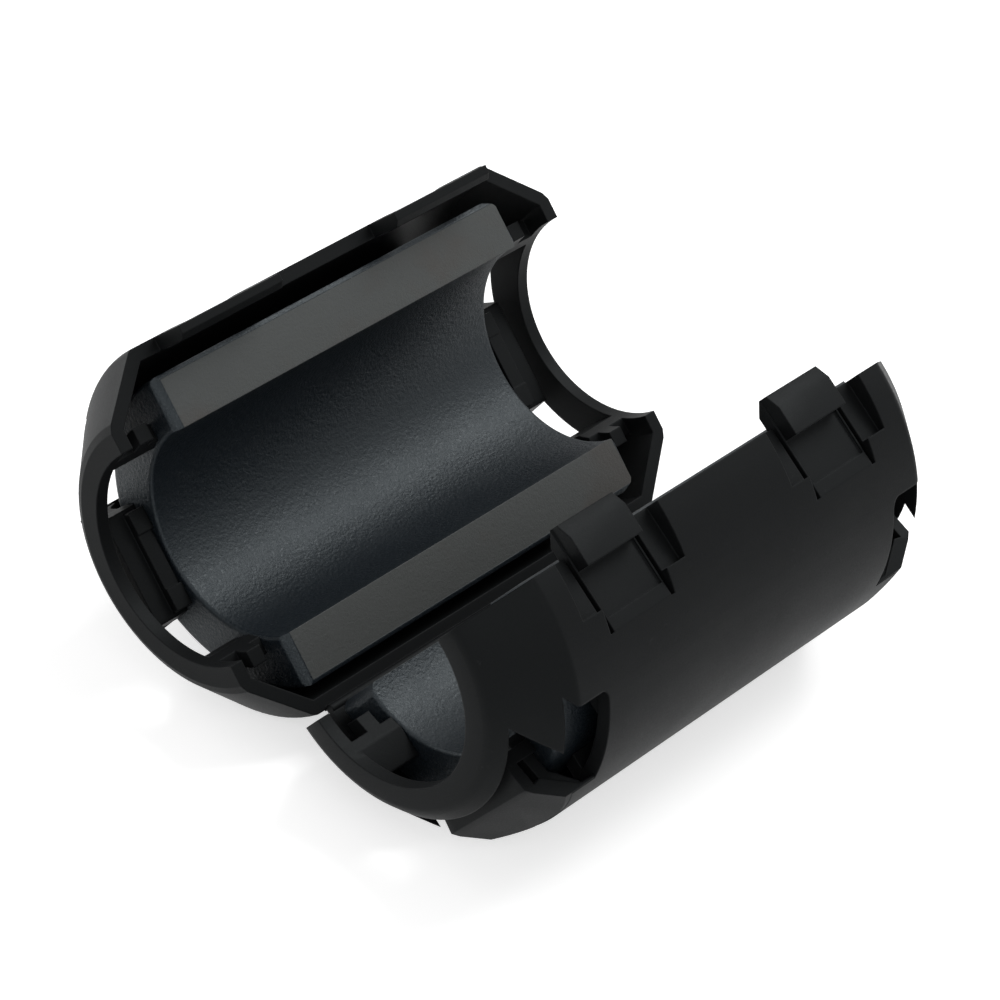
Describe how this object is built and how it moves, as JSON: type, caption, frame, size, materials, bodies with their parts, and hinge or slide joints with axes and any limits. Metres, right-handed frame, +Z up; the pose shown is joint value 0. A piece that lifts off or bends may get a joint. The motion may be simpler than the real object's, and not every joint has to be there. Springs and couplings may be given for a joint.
{
  "type": "clip-on ferrite core",
  "caption": "Black hinged clip-on shell standing open like a book, with a half-round ferrite core in each side, to close round a cable.",
  "frame": {"origin": "on the surface that the open part stands on, below the hinge, midway between the two ends", "axes": "+X along the cable channels, +Y from the hinge to the half with the catch loops, +Z up"},
  "size_m": [0.0362, 0.038, 0.0218],
  "materials": {
    "case": "fine moulded black",
    "ferrite": "dense grey, ground faces"
  },
  "bodies": {
    "catch_half": {"catch_case_half": "case", "catch_side_core": "ferrite"},
    "hook_half": {"hook_case_half": "case", "hook_side_core": "ferrite"}
  },
  "joints": [
    {"name": "hinge", "type": "hinge", "parent": "catch_half", "child": "hook_half", "pos_m": [0, 0, 0.00263], "axis": [1, 0, 0], "range_deg": [-80.3, 95]}
  ]
}
